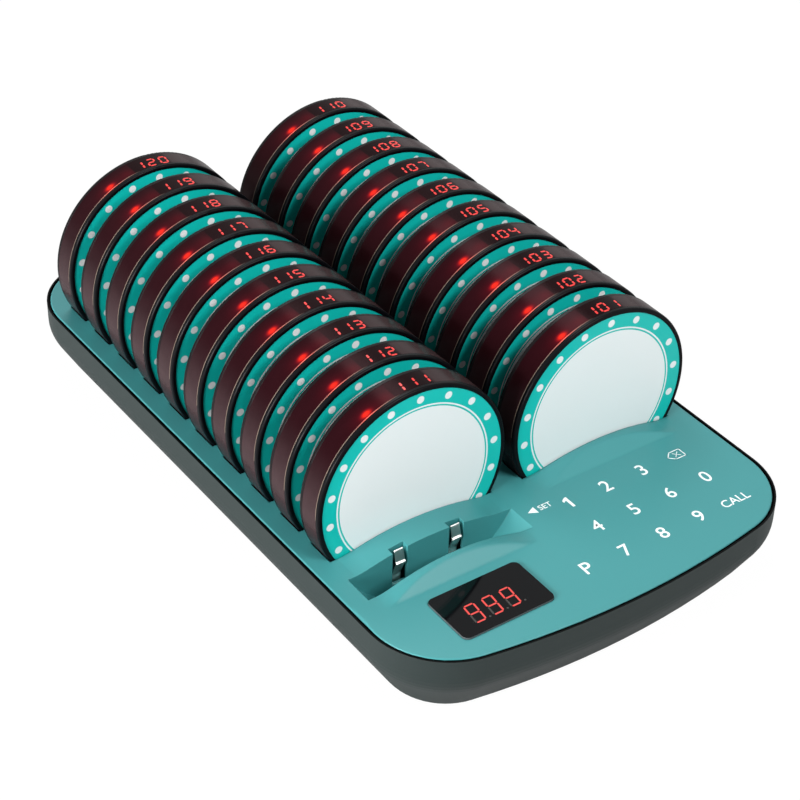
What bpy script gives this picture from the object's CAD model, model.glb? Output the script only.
# %% [markdown]
# # A guest pager system on a counter
#
# The object is a charcoal base with a teal cover. Twenty round coaster pagers stand in it on edge,
# in two columns of ten, and one slot in front of the left column is free. The solids come from the
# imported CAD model. This script gives them their finishes, prints the legends, lights the digits and
# sets up a plain studio. Everything is in metres: +X right, +Y to the back, +Z up.

import math

import bmesh
import bpy
import numpy as np
from mathutils import Matrix, Vector


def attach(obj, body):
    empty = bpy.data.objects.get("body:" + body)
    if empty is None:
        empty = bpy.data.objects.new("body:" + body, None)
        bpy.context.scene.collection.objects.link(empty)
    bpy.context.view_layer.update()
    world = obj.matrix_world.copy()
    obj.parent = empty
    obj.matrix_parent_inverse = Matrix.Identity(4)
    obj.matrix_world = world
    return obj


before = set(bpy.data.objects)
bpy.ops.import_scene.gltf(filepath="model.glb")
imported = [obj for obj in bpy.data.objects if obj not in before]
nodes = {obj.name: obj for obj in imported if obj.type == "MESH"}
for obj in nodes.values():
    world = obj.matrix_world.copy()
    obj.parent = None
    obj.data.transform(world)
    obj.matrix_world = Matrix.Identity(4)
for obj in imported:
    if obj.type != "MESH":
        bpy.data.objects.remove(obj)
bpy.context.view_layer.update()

# %% [markdown]
# ## Helpers
#
# Product drawings are in millimetres and paint charts give sRGB hex values, while Blender wants
# metres and linear light. Two one-line helpers do that, and a third adds a shader node, sets it and
# joins it to what feeds it. A real material needs many nodes, so that helper keeps each to a line.

# %% Units, colours and one function that adds a node
MM = 0.001


def colour(hex_value):
    """An sRGB hex value as linear red, green, blue and full alpha."""
    levels = [int(hex_value[i:i + 2], 16) / 255 for i in (1, 3, 5)]
    return tuple(c / 12.92 if c <= 0.04045 else ((c + 0.055) / 1.055) ** 2.4 for c in levels) + (1.0,)


def put(material, kind, inputs=None, output=0, **settings):
    """Adds a node, applies its settings, fills or links its inputs and gives one of its outputs."""
    tree = material.node_tree
    node = tree.nodes.new(kind)
    for name, value in settings.items():
        setattr(node, name, value)
    for name, value in (inputs or {}).items():
        if isinstance(value, bpy.types.NodeSocket):
            tree.links.new(value, node.inputs[name])
        else:
            node.inputs[name].default_value = value
    return node.outputs[output] if node.outputs else node


def new_material(name):
    """An empty node material with its output, ready for a surface."""
    material = bpy.data.materials.new(name)
    material.use_nodes = True
    material.node_tree.nodes.clear()
    return material


def finish_surface(material, shader):
    """Joins a shader to a new output node."""
    put(material, "ShaderNodeOutputMaterial", {"Surface": shader})
    return material


# %% [markdown]
# ## Where things are
#
# The patterns on the pagers and the print on the cover are placed from the same sizes that the CAD
# model is made with, so they sit exactly where the real ones do.

# %% Sizes of the object, in millimetres
COLUMN_X = 50.2
DISC_Z = 61.2
PAGER_R = 47.7
FIRST_FRONT = -87.9
PITCH = 23.5
COVER_Z = 38.0
WINDOW_TOP = 38.8
PAGERS = list(range(101, 121))


def pager_x(number):
    return COLUMN_X if number < 111 else -COLUMN_X


def pager_front(number):
    return FIRST_FRONT + (number - 101) % 10 * PITCH


# %% [markdown]
# ## Camera
#
# A product photographer stands well back with a long lens, so that near and far pagers keep nearly
# the same size. The place and the turn come from solving the photograph's camera from the rings of
# dots on the pagers.

# %% Camera
camera_data = bpy.data.cameras.new("studio_camera")
camera_data.sensor_width = 36
camera_data.lens = 96.158
camera = bpy.data.objects.new("studio_camera", camera_data)
bpy.context.scene.collection.objects.link(camera)
camera.location = Vector((-465.74, -647.88, 615.94)) * MM
camera.rotation_euler = [math.radians(a) for a in (53.69980, -1.29289, -35.06833)]
bpy.context.scene.camera = camera
print("camera stands", round(camera.location.length, 3), "m from the object's foot")

# %% [markdown]
# ## Studio
#
# The photograph has a white sweep and soft lamps. The floor is matt white. It shows as paper white
# to the camera and still keeps a part of its own shading, so the object has a soft contact shadow.
# The world is white where the camera, a gloss or a clear piece looks at it, and a softer fill where
# it lights the object. The key lamp stands high at the front, a little to the right, so each pager
# shades the lower left of the one behind it. A low lamp at the left makes the housing's left wall
# paler than its front, and a weak one at the back lifts the cover and the tops of the rims a little.

# %% Floor
PAPER_SHARE = 0.92
FLOOR_HALF = 4.0
FLOOR_DROP = 0.0002
floor_white = new_material("studio_paper_white")
paper = put(floor_white, "ShaderNodeBsdfDiffuse", {"Color": colour("#C4C4C4")})
shine = put(floor_white, "ShaderNodeEmission", {"Color": colour("#FFFFFF"), "Strength": 1.05})
path = put(floor_white, "ShaderNodeLightPath")
share = put(floor_white, "ShaderNodeMath", {0: path, 1: PAPER_SHARE}, operation="MULTIPLY")
paper_share = {0: share, 1: paper, 2: shine}
finish_surface(floor_white, put(floor_white, "ShaderNodeMixShader", paper_share))

floor_mesh = bpy.data.meshes.new("studio_floor")
corners = [(x * FLOOR_HALF, y * FLOOR_HALF, 0) for x, y in ((-1, -1), (1, -1), (1, 1), (-1, 1))]
floor_mesh.from_pydata(corners, [], [(0, 1, 2, 3)])
floor = bpy.data.objects.new("studio_floor", floor_mesh)
bpy.context.scene.collection.objects.link(floor)
floor.data.materials.append(floor_white)
floor.location.z = -FLOOR_DROP

# %% World and lamps
world = bpy.data.worlds.new("studio_world")
bpy.context.scene.world = world
world.use_nodes = True
world.node_tree.nodes.clear()
fill = put(world, "ShaderNodeBackground", {"Color": colour("#F2F5F7"), "Strength": 0.32})
white = put(world, "ShaderNodeBackground", {"Color": colour("#FFFFFF"), "Strength": 1.0})
path = put(world, "ShaderNodeLightPath").node
seen = put(world, "ShaderNodeMath", {0: path.outputs["Is Camera Ray"],
                                     1: path.outputs["Is Transmission Ray"]}, operation="ADD")
seen = put(world, "ShaderNodeMath", {0: seen, 1: path.outputs["Is Glossy Ray"]}, operation="ADD",
           use_clamp=True)
sky = put(world, "ShaderNodeMixShader", {0: seen, 1: fill, 2: white})
put(world, "ShaderNodeOutputWorld", {"Surface": sky})


def softbox(name, place, aim, width, height, power):
    """A rectangular soft lamp at place, in metres, turned to aim."""
    data = bpy.data.lights.new(name, "AREA")
    data.shape = "RECTANGLE"
    data.size = width
    data.size_y = height
    data.energy = power
    lamp = bpy.data.objects.new(name, data)
    bpy.context.scene.collection.objects.link(lamp)
    lamp.location = place
    lamp.rotation_euler = (Vector(aim) - Vector(place)).to_track_quat("-Z", "Y").to_euler()
    return lamp


# name, place, aim, width, height, power in watts
LAMPS = (("key_softbox", (0.35, -1.15, 1.25), (0, 0, 0.05), 0.7, 0.5, 18.5),
         ("side_softbox", (-1.0, -0.1, 0.34), (0, 0, 0.03), 0.6, 0.3, 18),
         ("back_softbox", (0.15, 0.5, 0.85), (-0.05, 0, 0.05), 0.35, 0.3, 2.2))
for lamp_values in LAMPS:
    softbox(*lamp_values)
print("lamps:", len(LAMPS))
bpy.context.scene.view_settings.view_transform = "Standard"

# %% [markdown]
# ## Moulded housing
#
# The base is injection-moulded ABS in charcoal, from a tool that was spark-eroded to a fine matt
# grain. The grain spreads the highlight, so the wall shades softly from top to bottom. Real grain is
# about 0.1 mm across, too fine for this view, so it is drawn about 0.8 mm across and very shallow.


# %% A function for moulded plastic with a grain
CLOUD_MM = 45
ROUGHNESS_SPREAD = 0.04


def moulded(name, hex_value, roughness, grain_mm, grain_depth_mm, edge_mm, shade=0.04, ior=1.53,
            gloss_level=0.3):
    """ABS from a spark-eroded tool: even colour, fine grain, edges softened by the tool's radius."""
    material = new_material(name)
    place = put(material, "ShaderNodeTexCoord", output="Object")
    grain = put(material, "ShaderNodeTexNoise", {
        "Vector": place, "Scale": 1 / (grain_mm * MM), "Detail": 3.0})
    cloud = put(material, "ShaderNodeTexNoise", {
        "Vector": place, "Scale": 1 / (CLOUD_MM * MM), "Detail": 2.0})
    tone = put(material, "ShaderNodeMapRange", {0: cloud, 3: 1 - shade, 4: 1 + shade})
    paint = put(material, "ShaderNodeMix", {0: 1.0, 6: colour(hex_value), 7: tone}, 2,
                data_type="RGBA", blend_type="MULTIPLY")
    gloss = put(material, "ShaderNodeMapRange", {0: grain, 3: roughness - ROUGHNESS_SPREAD,
                                                 4: roughness + ROUGHNESS_SPREAD})
    edge = put(material, "ShaderNodeBevel", {"Radius": edge_mm * MM}, samples=8)
    bumps = put(material, "ShaderNodeBump", {
        "Height": grain, "Distance": grain_depth_mm * MM, "Strength": 1.0, "Normal": edge})
    shader = put(material, "ShaderNodeBsdfPrincipled", {
        "Base Color": paint, "Roughness": gloss, "Normal": bumps, "IOR": ior,
        "Specular IOR Level": gloss_level})
    return finish_surface(material, shader)


housing_charcoal = moulded("abs_moulded_charcoal", "#202A29", 0.5, 0.8, 0.012, 0.4)
seam_black = moulded("abs_moulded_black_seam", "#050606", 0.6, 0.8, 0.004, 0.1, gloss_level=0.05)

# %% [markdown]
# ## Satin cover
#
# The cover is the same plastic in teal, polished a little finer, so it has a satin sheen. The grain
# is weaker than the housing's. Its edges are soft by a small radius. At the front ramps, of the right
# ridge and of the lip before the free slot, the radius is larger and blends the ramp into the cover.
# The lip's ramp lies nearer the keypad, so the left half's distance is shifted to match the right's.

# %% Cover
COVER_EDGE = 0.35
RAMP_EDGE = 2.4
RAMP_Y = -94.5
LIP_SHIFT = 28.5
RAMP_REACH = (5.6, 6.2)
cover_teal = moulded("abs_moulded_teal_satin", "#3F8A8C", 0.38, 0.7, 0.006, COVER_EDGE, 0.02)
cover_place = put(cover_teal, "ShaderNodeTexCoord", output="Object")
where = put(cover_teal, "ShaderNodeSeparateXYZ", {0: cover_place}).node.outputs
left = put(cover_teal, "ShaderNodeMath", {0: where["X"], 1: 0.0}, operation="LESS_THAN")
along = put(cover_teal, "ShaderNodeMath", {0: left, 1: LIP_SHIFT * MM, 2: where["Y"]},
            operation="MULTIPLY_ADD")
far = put(cover_teal, "ShaderNodeMath", {0: along, 1: RAMP_Y * MM}, operation="SUBTRACT")
far = put(cover_teal, "ShaderNodeMath", {0: far}, operation="ABSOLUTE")
ramp_radius = put(cover_teal, "ShaderNodeMapRange", {
    0: far, 1: RAMP_REACH[0] * MM, 2: RAMP_REACH[1] * MM, 3: RAMP_EDGE * MM, 4: COVER_EDGE * MM})
cover_tree = cover_teal.node_tree
cover_edge = next(n for n in cover_tree.nodes if n.bl_idname == "ShaderNodeBevel")
cover_tree.links.new(ramp_radius, cover_edge.inputs["Radius"])

# %% [markdown]
# ## Black parts
#
# The pager's bezel and rear case are polished black ABS. The inlet is a glass-filled nylon block, and
# the feet are soft rubber.

# %% Black plastics and rubber
bezel_black = moulded("abs_polished_black", "#08090C", 0.3, 0.8, 0.001, 0.2, gloss_level=0.07)
case_black = moulded("abs_polished_black_rear", "#0D090B", 0.3, 0.8, 0.001, 0.3, gloss_level=0.1)
inlet_black = moulded("nylon_moulded_black", "#1C1D1F", 0.5, 0.6, 0.01, 0.2)
foot_rubber = moulded("rubber_moulded_black", "#17181A", 0.75, 0.5, 0.02, 0.3, ior=1.52)

# %% [markdown]
# ## Display window
#
# The pane is smoked acrylic, polished on both sides. It is nearly black, and it mirrors the pager
# behind it. Its cut edge is ground and stays paler, so a thin light line runs round it. A faint
# waviness keeps the mirror from looking computed.

# %% Window
window_black = new_material("acrylic_smoked_polished")
place = put(window_black, "ShaderNodeTexCoord", output="Object")
wave = put(window_black, "ShaderNodeTexNoise", {"Vector": place, "Scale": 1 / (9 * MM), "Detail": 1.0})
edge = put(window_black, "ShaderNodeBevel", {"Radius": 0.35 * MM}, samples=6)
ripple = put(window_black, "ShaderNodeBump", {"Height": wave, "Distance": 0.004 * MM, "Normal": edge})
smudge = put(window_black, "ShaderNodeMapRange", {0: wave, 3: 0.03, 4: 0.07})
facing = put(window_black, "ShaderNodeNewGeometry", output="Normal")
upward = put(window_black, "ShaderNodeSeparateXYZ", {0: facing}, "Z")
ground = put(window_black, "ShaderNodeMath", {0: upward, 1: 0.5}, operation="LESS_THAN")
pane = put(window_black, "ShaderNodeMix", {0: ground, 6: colour("#07080A"), 7: colour("#545B5D")}, 2,
           data_type="RGBA")
finish_surface(window_black, put(window_black, "ShaderNodeBsdfPrincipled", {
    "Base Color": pane, "Roughness": smudge, "IOR": 1.49, "Specular IOR Level": 0.12, "Normal": ripple}))

# %% [markdown]
# ## Finding a place on a pager
#
# Label and light band need to know how far a point is from the pager's axis, in which direction, and
# how far behind the front face. All pagers stand at one height and in two columns, so these come
# from the object's own coordinates by arithmetic, and the pattern moves with the pager. A margin of
# 1 mm before the front face keeps the remainder of the division from jumping there.


# %% Polar place on a pager
MARGIN = 1.0


def pager_place(material):
    """Radius in mm, angle in degrees from +X, and depth in mm behind the pager's front face."""
    place = put(material, "ShaderNodeTexCoord", output="Object")
    size = put(material, "ShaderNodeVectorMath", {0: place, "Scale": 1000.0}, operation="SCALE")
    axes = put(material, "ShaderNodeSeparateXYZ", {0: size}).node.outputs
    side = put(material, "ShaderNodeMath", {0: axes["X"]}, operation="SIGN")
    column = put(material, "ShaderNodeMath", {0: side, 1: -COLUMN_X, 2: axes["X"]}, operation="MULTIPLY_ADD")
    height = put(material, "ShaderNodeMath", {0: axes["Z"], 1: DISC_Z}, operation="SUBTRACT")
    spot = put(material, "ShaderNodeCombineXYZ", {"X": column, "Z": height})
    radius = put(material, "ShaderNodeVectorMath", {0: spot}, "Value", operation="LENGTH")
    turn = put(material, "ShaderNodeMath", {0: height, 1: column}, operation="ARCTAN2")
    angle = put(material, "ShaderNodeMath", {0: turn, 1: 180 / math.pi}, operation="MULTIPLY")
    past = put(material, "ShaderNodeMath", {0: axes["Y"], 1: MARGIN - FIRST_FRONT}, operation="ADD")
    within = put(material, "ShaderNodeMath", {0: past, 1: PITCH}, operation="FLOORED_MODULO")
    depth = put(material, "ShaderNodeMath", {0: within, 1: MARGIN}, operation="SUBTRACT")
    return radius, angle, depth, place


# %% [markdown]
# ## Printed label
#
# The label is a printed satin film under a thin clear laminate: a silvery centre, a fine teal line,
# a fine white line and a teal ring with eighteen white dots. The centre stays bare here. The rings
# come from the radius through a stepped ramp. For the dots the circle is folded into eighteen equal
# sectors, so one dot's distance formula draws them all.

# %% Label
label_film = new_material("printed_film_satin")
RAMP_R = 48.0
radius, angle, _, place = pager_place(label_film)
rings = put(label_film, "ShaderNodeMath", {0: radius, 1: RAMP_R}, operation="DIVIDE")
ramp = put(label_film, "ShaderNodeValToRGB", {0: rings})
bands = ramp.node.color_ramp
bands.interpolation = "CONSTANT"
LABEL_WHITE = "#E6EBEB"
LABEL_TEAL = "#0FBBB2"
stops = [(0.0, LABEL_WHITE), (37.1, LABEL_TEAL), (37.7, LABEL_WHITE), (38.5, LABEL_TEAL)]
while len(bands.elements) < len(stops):
    bands.elements.new(1.0)
for element, (at, hex_value) in zip(bands.elements, stops):
    element.position = at / RAMP_R
    element.color = colour(hex_value)
DOT_STEP = 20.0
DOT_PHASE = -32.95
DOT_RING = 42.0
DOT_R = 1.8
DOT_BLUR = 0.15
past = put(label_film, "ShaderNodeMath", {0: angle, 1: 360 - DOT_PHASE + DOT_STEP / 2}, operation="ADD")
folded = put(label_film, "ShaderNodeMath", {0: past, 1: DOT_STEP}, operation="FLOORED_MODULO")
off = put(label_film, "ShaderNodeMath", {0: folded, 1: DOT_STEP / 2}, operation="SUBTRACT")
off = put(label_film, "ShaderNodeMath", {0: off, 1: math.pi / 180}, operation="MULTIPLY")
sine = put(label_film, "ShaderNodeMath", {0: off}, operation="SINE")
cosine = put(label_film, "ShaderNodeMath", {0: off}, operation="COSINE")
across = put(label_film, "ShaderNodeMath", {0: sine, 1: radius}, operation="MULTIPLY")
outward = put(label_film, "ShaderNodeMath", {0: cosine, 1: radius, 2: -DOT_RING}, operation="MULTIPLY_ADD")
spot = put(label_film, "ShaderNodeCombineXYZ", {"X": across, "Y": outward})
away = put(label_film, "ShaderNodeVectorMath", {0: spot}, "Value", operation="LENGTH")
dot = put(label_film, "ShaderNodeMapRange", {0: away, 1: DOT_R - DOT_BLUR, 2: DOT_R + DOT_BLUR,
                                             3: 1.0, 4: 0.0})
print_colour = put(label_film, "ShaderNodeMix", {0: dot, 6: ramp, 7: colour(LABEL_WHITE)}, 2,
                   data_type="RGBA")
fibre = put(label_film, "ShaderNodeTexNoise", {"Vector": place, "Scale": 1 / (1.2 * MM), "Detail": 3.0})
gloss = put(label_film, "ShaderNodeMapRange", {0: fibre, 3: 0.3, 4: 0.4})
bumps = put(label_film, "ShaderNodeBump", {"Height": fibre, "Distance": 0.002 * MM})
finish_surface(label_film, put(label_film, "ShaderNodeBsdfPrincipled", {
    "Base Color": print_colour, "Roughness": gloss, "Normal": bumps, "IOR": 1.5,
    "Specular IOR Level": 0.25, "Coat Weight": 0.12, "Coat Roughness": 0.12}))

# %% [markdown]
# ## Smoky red light band
#
# A ring of red-tinted polycarbonate runs round the rim, and the lamps shine through it. Unlit it is
# almost black with a maroon cast, paler and browner to the right of the number and at the lower left.
# A darker mask lies under the number at the top. One lamp glows at the upper left. The glow is a sum
# of soft bells: a small hot one, a wide dim one, a thin line where the light leaks along the bezel, a
# faint one beside the mask and a very wide one over the left side. It turns from crimson to a warmer
# red with its strength. A fine pale line marks the band's front edge, left of the number.

# %% Light band
LAMP_ANGLE = 117.5
LAMP_DEPTH = 4.2
MASK_FROM, MASK_TO = 77.0, 101.0
band_red = new_material("polycarbonate_tinted_red")
radius, angle, depth, place = pager_place(band_red)


def bell(at_deg, at_mm, reach_deg, reach_mm, level, rest):
    """Adds to rest a soft bell of light round one place on the band."""
    turned = put(band_red, "ShaderNodeMath", {0: angle, 1: at_deg}, operation="SUBTRACT")
    a = put(band_red, "ShaderNodeMath", {0: turned, 1: reach_deg}, operation="DIVIDE")
    behind = put(band_red, "ShaderNodeMath", {0: depth, 1: at_mm}, operation="SUBTRACT")
    b = put(band_red, "ShaderNodeMath", {0: behind, 1: reach_mm}, operation="DIVIDE")
    spot = put(band_red, "ShaderNodeCombineXYZ", {"X": a, "Y": b})
    square = put(band_red, "ShaderNodeVectorMath", {0: spot, 1: spot}, "Value", operation="DOT_PRODUCT")
    less = put(band_red, "ShaderNodeMath", {0: square, 1: -1.0}, operation="MULTIPLY")
    falloff = put(band_red, "ShaderNodeMath", {0: less}, operation="EXPONENT")
    return put(band_red, "ShaderNodeMath", {0: falloff, 1: level, 2: rest}, operation="MULTIPLY_ADD")


# angle, depth in mm, reach in degrees, reach in mm, level
BELLS = ((LAMP_ANGLE, LAMP_DEPTH, 2.4, 1.3, 1.5), (LAMP_ANGLE, LAMP_DEPTH, 8.0, 4.0, 0.09),
         (LAMP_ANGLE, 2.1, 7.0, 0.35, 1.0), (MASK_TO + 3.5, 4.5, 4.5, 4.0, 0.07),
         (124.0, 6.0, 24.0, 8.0, 0.014))
light = 0.0
for values in BELLS:
    light = bell(*values, light)
mask_in = put(band_red, "ShaderNodeMapRange", {0: angle, 1: MASK_FROM, 2: MASK_FROM + 1.5})
mask_out = put(band_red, "ShaderNodeMapRange", {0: angle, 1: MASK_TO - 0.5, 2: MASK_TO + 0.5,
                                                3: 1.0, 4: 0.0})
mask = put(band_red, "ShaderNodeMath", {0: mask_in, 1: mask_out}, operation="MULTIPLY")
clear = put(band_red, "ShaderNodeMath", {0: 1.0, 1: mask}, operation="SUBTRACT")
light = put(band_red, "ShaderNodeMath", {0: light, 1: clear}, operation="MULTIPLY")
haze = put(band_red, "ShaderNodeTexNoise", {"Vector": place, "Scale": 1 / (6 * MM), "Detail": 2.0})
rising = put(band_red, "ShaderNodeMapRange", {0: angle, 1: 20.0, 2: 60.0},
             interpolation_type="SMOOTHSTEP")
ending = put(band_red, "ShaderNodeMapRange", {0: angle, 1: 76.0, 2: 80.0, 3: 1.0, 4: 0.0})
brown = put(band_red, "ShaderNodeMath", {0: rising, 1: ending}, operation="MULTIPLY")
body = put(band_red, "ShaderNodeMix", {0: brown, 6: colour("#1A070B"), 7: colour("#3A2D2E")}, 2,
           data_type="RGBA")
leftward = put(band_red, "ShaderNodeMath", {0: angle}, operation="ABSOLUTE")
lower_left = put(band_red, "ShaderNodeMapRange", {0: leftward, 1: 140.0, 2: 185.0},
                 interpolation_type="SMOOTHSTEP")
body = put(band_red, "ShaderNodeMix", {0: lower_left, 6: body, 7: colour("#382A2C")}, 2, data_type="RGBA")
body = put(band_red, "ShaderNodeMix", {0: mask, 6: body, 7: colour("#110406")}, 2, data_type="RGBA")
tone = put(band_red, "ShaderNodeMapRange", {0: haze, 3: 0.85, 4: 1.15})
body = put(band_red, "ShaderNodeMix", {0: 1.0, 6: body, 7: tone}, 2, data_type="RGBA",
           blend_type="MULTIPLY")
smooth = put(band_red, "ShaderNodeMapRange", {0: haze, 3: 0.2, 4: 0.26})
front_edge = put(band_red, "ShaderNodeMapRange", {0: depth, 1: 2.3, 2: 2.5, 3: 1.0, 4: 0.0})
lit_side = put(band_red, "ShaderNodeMapRange", {0: angle, 1: 98.0, 2: 106.0})
line = put(band_red, "ShaderNodeMath", {0: front_edge, 1: lit_side}, operation="MULTIPLY")
body = put(band_red, "ShaderNodeMix", {0: line, 6: body, 7: colour("#7A6C60")}, 2, data_type="RGBA")
glow = put(band_red, "ShaderNodeMapRange", {0: light, 1: 0.05, 2: 0.6})
glow = put(band_red, "ShaderNodeMix", {0: glow, 6: colour("#D01034"), 7: colour("#FF2818")}, 2,
           data_type="RGBA")
edge = put(band_red, "ShaderNodeBevel", {"Radius": 0.15 * MM}, samples=4)
finish_surface(band_red, put(band_red, "ShaderNodeBsdfPrincipled", {
    "Base Color": body, "Roughness": smooth, "IOR": 1.58, "Specular IOR Level": 0.04,
    "Specular Tint": colour("#FF7A8C"), "Normal": edge, "Emission Color": glow,
    "Emission Strength": light}))

# %% [markdown]
# ## Metals
#
# The leaf contacts and the pads are nickel-plated and bright, the screws are zinc-plated, and the
# shield can is tinned. Rolling leaves fine lines on them, which stretch the highlight. A metal's
# colour is its reflection colour, and its IOR stays at the default. The contacts have a wider edge
# radius, because the leaf's bends are rounded.


# %% A function for plated metal
def plated(name, hex_value, roughness, line_mm, line_depth_mm, edge_mm=0.12):
    """Rolled and plated sheet: a bright metal with fine lines along the strip's length."""
    material = new_material(name)
    place = put(material, "ShaderNodeTexCoord", output="Object")
    lines = put(material, "ShaderNodeMapping", {"Vector": place, "Scale": (1.0, 0.08, 0.08)})
    scratch = put(material, "ShaderNodeTexNoise", {
        "Vector": lines, "Scale": 1 / (line_mm * MM), "Detail": 3.0})
    gloss = put(material, "ShaderNodeMapRange", {0: scratch, 3: roughness - 0.05, 4: roughness + 0.08})
    edge = put(material, "ShaderNodeBevel", {"Radius": edge_mm * MM}, samples=8)
    bumps = put(material, "ShaderNodeBump", {
        "Height": scratch, "Distance": line_depth_mm * MM, "Normal": edge})
    shader = put(material, "ShaderNodeBsdfPrincipled", {"Base Color": colour(hex_value), "Metallic": 1.0,
                                                        "Roughness": gloss, "Normal": bumps})
    return finish_surface(material, shader)


contact_nickel = plated("nickel_plated_bronze", "#E8E6E2", 0.3, 0.3, 0.004, 0.9)
screw_zinc = plated("steel_zinc_plated", "#A9ABA8", 0.32, 0.4, 0.004)
shield_tin = plated("steel_tinned", "#C6C8C8", 0.35, 0.6, 0.004)
motor_steel = plated("steel_drawn", "#B7B8B6", 0.28, 0.5, 0.003)

# %% [markdown]
# ## Boards and battery
#
# The circuit boards are glass-fibre laminate under green solder mask. Copper tracks show through the
# mask as slightly paler lines, drawn here with a brick pattern on a 2.54 mm grid. The battery is a
# foil pouch, crimped and a little creased.

# %% Circuit board
board_green = new_material("fibreglass_solder_masked")
place = put(board_green, "ShaderNodeTexCoord", output="Object")
tracks = put(board_green, "ShaderNodeTexBrick", {
    "Vector": place, "Color1": colour("#1C5A38"), "Color2": colour("#1F633D"), "Mortar": colour("#2F7A50"),
    "Scale": 1 / (10 * MM), "Mortar Size": 0.012, "Brick Width": 0.5, "Row Height": 0.254})
edge = put(board_green, "ShaderNodeBevel", {"Radius": 0.1 * MM}, samples=4)
lift = put(board_green, "ShaderNodeBump", {"Height": tracks, "Distance": 0.03 * MM, "Normal": edge})
finish_surface(board_green, put(board_green, "ShaderNodeBsdfPrincipled", {
    "Base Color": tracks, "Roughness": 0.3, "IOR": 1.55, "Normal": lift}))

# %% Battery pouch
battery_foil = new_material("aluminium_foil_pouch")
place = put(battery_foil, "ShaderNodeTexCoord", output="Object")
crease = put(battery_foil, "ShaderNodeTexNoise", {"Vector": place, "Scale": 1 / (7 * MM), "Detail": 4.0})
bumps = put(battery_foil, "ShaderNodeBump", {"Height": crease, "Distance": 0.4 * MM})
gloss = put(battery_foil, "ShaderNodeMapRange", {0: crease, 3: 0.25, 4: 0.45})
finish_surface(battery_foil, put(battery_foil, "ShaderNodeBsdfPrincipled", {
    "Base Color": colour("#B9BDC0"), "Metallic": 1.0, "Roughness": gloss, "Normal": bumps}))

# %% [markdown]
# ## Print and lit segments
#
# The legends are screen-printed in white ink, slightly rough. A lit segment is a red diode behind a
# diffuser, nearly even over its area, and an unlit one is a faint grey bar.

# %% Ink and segments
legend_white = moulded("screen_ink_white", "#EEF3F2", 0.5, 0.6, 0.004, 0.05)
segment_dark = moulded("diffuser_unlit_grey", "#3A3735", 0.3, 0.6, 0.002, 0.05, gloss_level=0.2)


def lit_segment(name, hex_value, strength):
    """A red diode behind its diffuser, a little brighter where the diffuser's grain is thin."""
    material = new_material(name)
    place = put(material, "ShaderNodeTexCoord", output="Object")
    grain = put(material, "ShaderNodeTexNoise", {"Vector": place, "Scale": 1 / (1.5 * MM), "Detail": 2.0})
    level = put(material, "ShaderNodeMapRange", {0: grain, 3: strength * 0.85, 4: strength * 1.15})
    shader = put(material, "ShaderNodeBsdfPrincipled", {"Base Color": colour("#5A0C0C"), "Roughness": 0.25,
                                                        "Emission Color": colour(hex_value),
                                                        "Emission Strength": level})
    return finish_surface(material, shader)


display_red = lit_segment("diode_red_display", "#F2473F", 0.95)
rim_red = lit_segment("diode_red_rim", "#FF261E", 0.95)

# %% [markdown]
# ## Dressing the CAD nodes
#
# Nodes of one material simply take it. A whole pager is one node with several pieces, so each of its
# faces gets its finish from where it lies: the label within the ring, the band at the rim, and so on.

# %% Finishes of the base
finishes = {
    "base_shell": housing_charcoal, "top_cover": cover_teal, "display_window": window_black,
    "display_module": inlet_black, "touch_board": board_green, "main_board": board_green,
    "radio_module": shield_tin, "charge_boards": board_green, "contact_feet": contact_nickel,
    "dc_inlet": inlet_black, "rubber_feet": foot_rubber, "cover_screws": screw_zinc,
    "pager_111_rear_case": case_black, "pager_111_light_band": band_red, "pager_111_front_bezel": bezel_black,
    "pager_111_front_label": label_film, "pager_111_circuit_board": board_green,
    "pager_111_battery": battery_foil, "pager_111_vibration_motor": motor_steel,
    "pager_111_charge_pads": contact_nickel}
for name, node in nodes.items():
    if name.startswith("contacts_"):
        finishes[name] = contact_nickel
for name, finish in finishes.items():
    nodes[name].data.materials.clear()
    nodes[name].data.materials.append(finish)
print("nodes with one finish:", len(finishes))

# %% [markdown]
# The cover drops into the housing, and a groove 1 mm wide runs round it. In the photograph the groove's
# walls and the top of the thin rim outside it read as one fine black line. Their faces are found by
# height, and by how far they lie outside the rounded line on which the housing's plan is built. That
# line is an arc at each end and straight along the sides.

# %% Black line round the cover
CORNER_X, CORNER_Y, BOW_Y, BOW_R = 65.56, 133.02, 224.58, 363.56
BOW_SIDE, BOW_AHEAD = 11, 60
SEAM_REACH = (35.0, 37.45)
SEAM_HEIGHTS = {"top_cover": (35.45, 37.45), "base_shell": (35.45, 38.0)}


def outline_reach(x, y):
    """Distance in mm outside the rounded line on which the housing's plan is built."""
    x, y = abs(x), abs(y)
    if x * BOW_AHEAD < (y + BOW_Y) * BOW_SIDE:
        return math.hypot(x, y + BOW_Y) - BOW_R
    return math.hypot(x - CORNER_X, max(y - CORNER_Y, 0))


for name, (lowest, highest) in SEAM_HEIGHTS.items():
    mesh = nodes[name].data
    mesh.materials.append(seam_black)
    count = 0
    for face in mesh.polygons:
        x, y, z = face.center / MM
        if lowest < z < highest and SEAM_REACH[0] < outline_reach(x, y) < SEAM_REACH[1]:
            face.material_index = 1
            count += 1
    print("black faces on", name, count)

# %% Finishes of the whole pagers
CASE, BAND, BEZEL, LABEL, BOARD, BATTERY, MOTOR, PADS = range(8)
PIECES = [case_black, band_red, bezel_black, label_film, board_green, battery_foil, motor_steel,
          contact_nickel]
PAD_XS, PAD_Z, MOTOR_Z = (-15.9, 13.1), -26.0, -24.0


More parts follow.
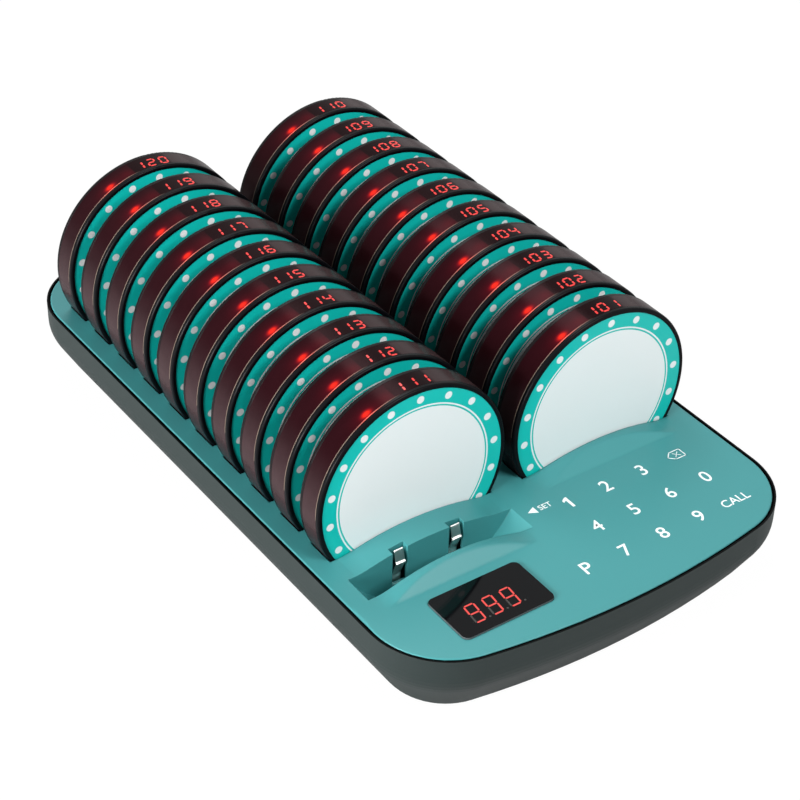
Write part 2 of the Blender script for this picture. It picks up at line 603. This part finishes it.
def piece_of(radius, depth, x, z):
    """Which piece of a pager a face belongs to. The limits lie between the CAD model's pieces."""
    pads = min(math.hypot(x - pad_x, z - PAD_Z) for pad_x in PAD_XS)
    if pads < 0.95 or (pads < 3.12 and depth > 13.8):
        return PADS
    if 0.28 < depth < 0.87 and radius < 45.65:
        return LABEL
    if radius > 45.85 and 2.05 < depth < 12.15:
        return BAND
    if depth < 2.95:
        return BEZEL
    if 3.1 < depth < 7.63 and radius < 45.2:
        return BOARD
    if 7.65 < depth < 11.55 and abs(x) < 17.1 and -12.1 < z < 18.1:
        return BATTERY
    if 7.65 < depth < 10.6 and math.hypot(x, z - MOTOR_Z) < 5.1:
        return MOTOR
    return CASE


for number in PAGERS:
    name = f"pager_{number}"
    if name not in nodes:
        continue
    mesh = nodes[name].data
    mesh.materials.clear()
    for finish in PIECES:
        mesh.materials.append(finish)
    centres = np.zeros(len(mesh.polygons) * 3)
    mesh.polygons.foreach_get("center", centres)
    centres = centres.reshape(-1, 3) * 1000 - [pager_x(number), pager_front(number), DISC_Z]
    indices = [piece_of(math.hypot(x, z), y, x, z) for x, y, z in centres]
    mesh.polygons.foreach_set("material_index", indices)
print("whole pagers dressed; faces by piece on the last:", np.bincount(indices))

# %% [markdown]
# ## Seven-segment digits
#
# The display and the pagers' rims show numbers in seven bars each. One function gives the bars of a
# digit as small six-sided outlines in a unit-high cell, slanted as such digits are.

# %% Bars of a digit
BARS = {"0": "abcdef", "1": "bc", "2": "abged", "3": "abgcd", "4": "fgbc", "5": "afgcd", "6": "afgedc",
        "7": "abc", "8": "abcdefg", "9": "abcdfg"}


def bar_outline(bar, width, thick, slant):
    """Outline of one bar of a unit-high digit, centred on the cell."""
    w, t, gap = width / 2, thick / 2, thick * 0.2
    h = 0.5 - t
    ends = {"a": ((-w, h), (w, h)), "g": ((-w, 0), (w, 0)), "d": ((-w, -h), (w, -h)),
            "f": ((-w, 0), (-w, h)), "b": ((w, 0), (w, h)), "e": ((-w, -h), (-w, 0)),
            "c": ((w, -h), (w, 0))}[bar]
    (x0, y0), (x1, y1) = ends
    if x0 == x1:
        y0, y1 = y0 + gap, y1 - gap
        loop = [(x0, y0), (x0 + t, y0 + t), (x0 + t, y1 - t),
                (x0, y1), (x0 - t, y1 - t), (x0 - t, y0 + t)]
    else:
        x0, x1 = x0 + gap, x1 - gap
        loop = [(x0, y0), (x0 + t, y0 - t), (x1 - t, y0 - t),
                (x1, y0), (x1 - t, y0 + t), (x0 + t, y0 + t)]
    return [(x + y * slant, y) for x, y in loop]


def flat_piece(name, loops, place, material, body):
    """A piece made of flat outlines. place turns a drawn point into a point in metres."""
    mesh = bpy.data.meshes.new(name)
    points, faces = [], []
    for loop in loops:
        faces.append(list(range(len(points), len(points) + len(loop))))
        points += [place(x, y) for x, y in loop]
    mesh.from_pydata(points, [], faces)
    piece = bpy.data.objects.new(name, mesh)
    bpy.context.scene.collection.objects.link(piece)
    mesh.materials.append(material)
    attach(piece, body)
    return piece


# %% [markdown]
# ## Display digits
#
# Three digits shine through the window. In the photograph they measure 11 to 12 mm high there. They
# show nines, so the lower left bar of each is off. The points beside them are off too.

# %% Display digits
DIGIT_AT = (-52.6, -147.1)
DIGIT_H = 11.2
DIGIT_PITCH = 8.9
DISPLAY_BAR = (0.42, 0.072, 0.1)
POINT_SHIFT, POINT_RISE, POINT_R, POINT_SIDES = 4.0, 0.6, 0.5, 12
PRINT_LIFT = 0.02
lit, unlit = [], []
for place_in_row in (-1, 0, 1):
    middle_x = place_in_row * DIGIT_PITCH
    for bar in "abcdefg":
        outline = [(x * DIGIT_H + middle_x, y * DIGIT_H) for x, y in bar_outline(bar, *DISPLAY_BAR)]
        (lit if bar in BARS["9"] else unlit).append(outline)
    turns = [2 * math.pi * k / POINT_SIDES for k in range(POINT_SIDES)]
    unlit.append([(middle_x + POINT_SHIFT + POINT_R * math.cos(a),
                   POINT_RISE - DIGIT_H / 2 + POINT_R * math.sin(a)) for a in turns])


def on_window(x, y):
    return ((DIGIT_AT[0] + x) * MM, (DIGIT_AT[1] + y) * MM, (WINDOW_TOP + PRINT_LIFT) * MM)


flat_piece("display_digits_lit", lit, on_window, display_red, "base")
flat_piece("display_digits_unlit", unlit, on_window, segment_dark, "base")

# %% [markdown]
# ## Numbers on the rims
#
# Each pager shows its number at the top of its rim, read from the front. The bars lie on the curved
# band, so a drawn point is turned into an angle round the pager's axis.

# %% Rim numbers
RIM_ANGLE = 88.5
RIM_PITCH = 7.6
RIM_H = 6.7
RIM_FRONT = 2.4
RIM_LIFT = 0.04
RIM_BAR = (0.52, 0.14, 0.12)


def rim_number(number):
    """The lit bars of one pager's number, bent round its rim."""
    centre_x, front = pager_x(number), pager_front(number)
    loops = []
    for slot_index, digit in enumerate(str(number)):
        shift = (slot_index - 1) * math.radians(RIM_PITCH) * PAGER_R
        for bar in BARS[digit]:
            loops.append([(x * RIM_H + shift, y * RIM_H) for x, y in bar_outline(bar, *RIM_BAR)])

    def on_rim(x, y):
        turn = math.radians(RIM_ANGLE) - x / PAGER_R
        reach = PAGER_R + RIM_LIFT
        return ((centre_x + reach * math.cos(turn)) * MM, (front + RIM_FRONT + RIM_H / 2 + y) * MM,
                (DISC_Z + reach * math.sin(turn)) * MM)

    return flat_piece(f"pager_{number}_number", loops, on_rim, rim_red, f"pager_{number}_body")


for number in PAGERS:
    rim_number(number)
print("rim numbers:", len(PAGERS))

# %% [markdown]
# ## Keypad legends
#
# The keys are touch areas under the plain cover, so the legends are only ink: digits, a few words,
# an arrow and an erase sign. Blender's own font is close to the printed one. Each word is turned into
# a mesh, scaled to its real height and laid on the cover. The font's "1" has no flag, so that digit
# is an outline of its own, as are the signs.

# %% Legends
DIGIT = 7.1
LEGENDS = [("2", 35.6, -112.0, DIGIT), ("3", 56.0, -112.0, DIGIT),
           ("4", 15.2, -131.0, DIGIT), ("5", 35.6, -131.0, DIGIT), ("6", 56.0, -131.0, DIGIT),
           ("0", 76.4, -131.0, DIGIT), ("P", -5.6, -149.9, DIGIT), ("7", 15.2, -149.9, DIGIT),
           ("8", 35.6, -149.9, DIGIT), ("9", 56.0, -149.9, DIGIT), ("SET", 5.0, -108.2, 3.1),
           ("CALL", 76.5, -150.3, 4.6)]
BOLD = 0.008
legend_z = (COVER_Z + PRINT_LIFT) * MM
legends = bmesh.new()
for word, x, y, height in LEGENDS:
    text_data = bpy.data.curves.new("legend_word", "FONT")
    text_data.body = word
    text_data.size = 1.0
    text_data.offset = BOLD
    text = bpy.data.objects.new("legend_word", text_data)
    bpy.context.scene.collection.objects.link(text)
    bpy.context.view_layer.update()
    outline = bpy.data.meshes.new_from_object(text)
    points = np.array([v.co[:2] for v in outline.vertices])
    low, high = points.min(0), points.max(0)
    scale = height * MM / (high[1] - low[1])
    middle = (low + high) / 2
    move = Matrix.Translation((x * MM, y * MM, legend_z)) @ Matrix.Scale(scale, 4) @ Matrix.Translation(
        (-middle[0], -middle[1], 0))
    outline.transform(move)
    legends.from_mesh(outline)
    bpy.data.objects.remove(text)
    bpy.data.meshes.remove(outline)


def add_loop(target, loop):
    """Adds one flat outline to the legends."""
    target.faces.new([target.verts.new((x * MM, y * MM, legend_z)) for x, y in loop])


def add_stroke(target, start, end, rise, run_out):
    """A straight stroke: rise is the shift to each side, run_out the overshoot at both ends."""
    (x0, y0), (x1, y1), (nx, ny), (ex, ey) = start, end, rise, run_out
    add_loop(target, [(x0 - ex + nx, y0 - ey + ny), (x1 + ex + nx, y1 + ey + ny),
                      (x1 + ex - nx, y1 + ey - ny), (x0 - ex - nx, y0 - ey - ny)])


ARROW = [(-4.2, -108.2), (0.1, -110.4), (0.1, -106.0)]
ONE = [(14.8, -115.5), (16.2, -115.5), (16.2, -108.5), (15.2, -108.5), (13.15, -109.85),
       (13.15, -111.25), (14.8, -110.4)]
ERASE = [(71.4, -112.0), (74.0, -109.4), (79.6, -109.4), (79.6, -114.6), (74.0, -114.6)]
CROSS_FROM, CROSS_TO, CROSS_HALF = 74.8, 77.8, 1.4
CROSS_Y = ERASE[0][1]
HALF_STROKE = 0.25
add_loop(legends, ARROW)
add_loop(legends, ONE)
for (x0, y0), (x1, y1) in zip(ERASE, ERASE[1:] + ERASE[:1]):
    run = math.hypot(x1 - x0, y1 - y0)
    step_x, step_y = (x1 - x0) / run * HALF_STROKE, (y1 - y0) / run * HALF_STROKE
    add_stroke(legends, (x0, y0), (x1, y1), (step_y, -step_x), (step_x, step_y))
for slope in (-1, 1):
    add_stroke(legends, (CROSS_FROM, CROSS_Y - slope * CROSS_HALF),
               (CROSS_TO, CROSS_Y + slope * CROSS_HALF), (0, -HALF_STROKE), (0, 0))
legend_mesh = bpy.data.meshes.new("keypad_legends")
legends.to_mesh(legend_mesh)
legends.free()
keypad_legends = bpy.data.objects.new("keypad_legends", legend_mesh)
bpy.context.scene.collection.objects.link(keypad_legends)
legend_mesh.materials.clear()
legend_mesh.materials.append(legend_white)
legend_mesh.polygons.foreach_set("material_index", [0] * len(legend_mesh.polygons))
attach(keypad_legends, "base")
print("legend faces:", len(legend_mesh.polygons))
